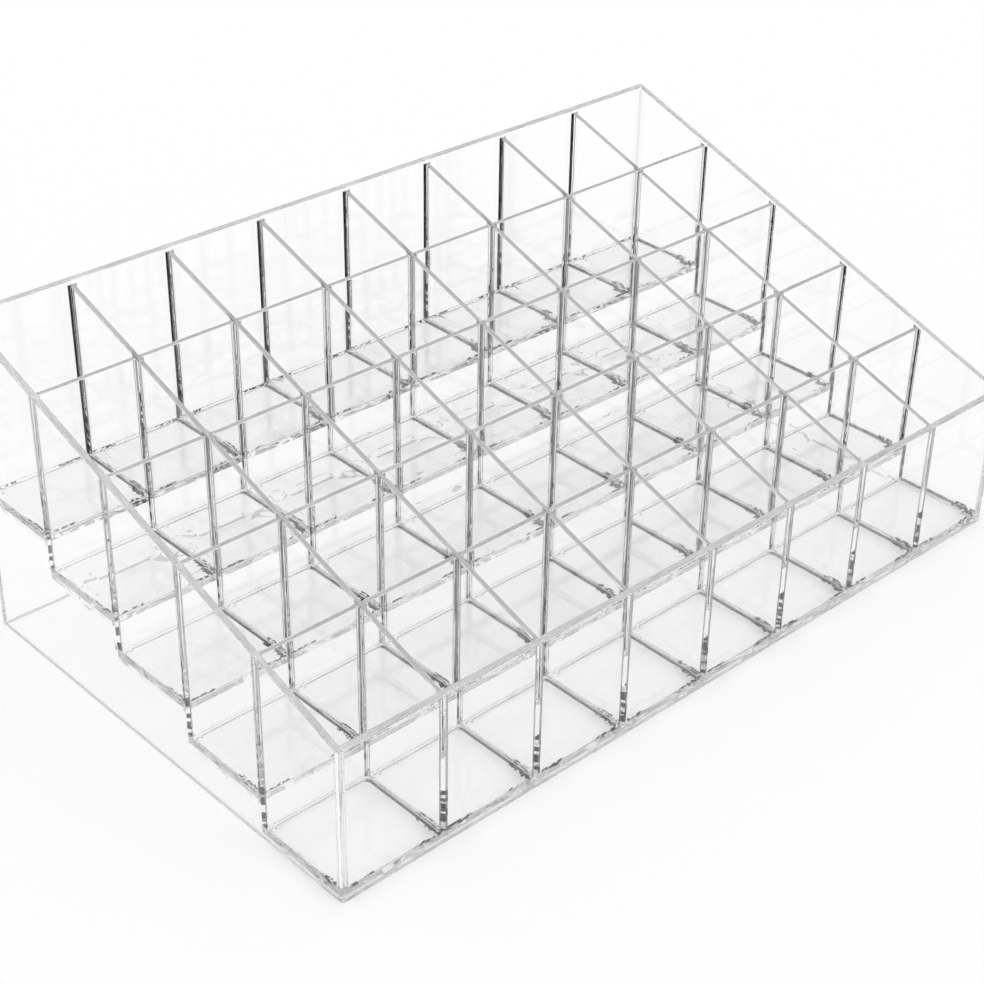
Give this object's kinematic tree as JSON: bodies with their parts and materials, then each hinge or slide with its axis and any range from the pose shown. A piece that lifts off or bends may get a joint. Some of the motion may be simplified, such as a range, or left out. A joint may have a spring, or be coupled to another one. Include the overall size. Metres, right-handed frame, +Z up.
{
  "type": "lipstick organizer",
  "caption": "Clear plastic stepped lipstick organizer: rows of open square cells whose floors climb from front to back inside four walls with a sloping rim.",
  "frame": {"origin": "middle of the base, in the plane of the table", "axes": "+X to the right along the front wall, +Y from front to back, +Z up"},
  "size_m": [0.218, 0.131, 0.0839],
  "materials": {
    "clear_plastic": "clear, polished, colourless"
  },
  "bodies": {
    "root": {"left_side_wall": "clear_plastic", "right_side_wall": "clear_plastic", "front_wall": "clear_plastic", "back_wall": "clear_plastic", "floor_row_1": "clear_plastic", "floor_row_2": "clear_plastic", "floor_row_3": "clear_plastic", "floor_row_4": "clear_plastic", "floor_row_5": "clear_plastic", "row_divider_1": "clear_plastic", "row_divider_2": "clear_plastic", "row_divider_3": "clear_plastic", "row_divider_4": "clear_plastic", "column_divider_1": "clear_plastic", "column_divider_2": "clear_plastic", "column_divider_3": "clear_plastic", "column_divider_4": "clear_plastic", "column_divider_5": "clear_plastic", "column_divider_6": "clear_plastic", "column_divider_7": "clear_plastic"}
  },
  "joints": []
}
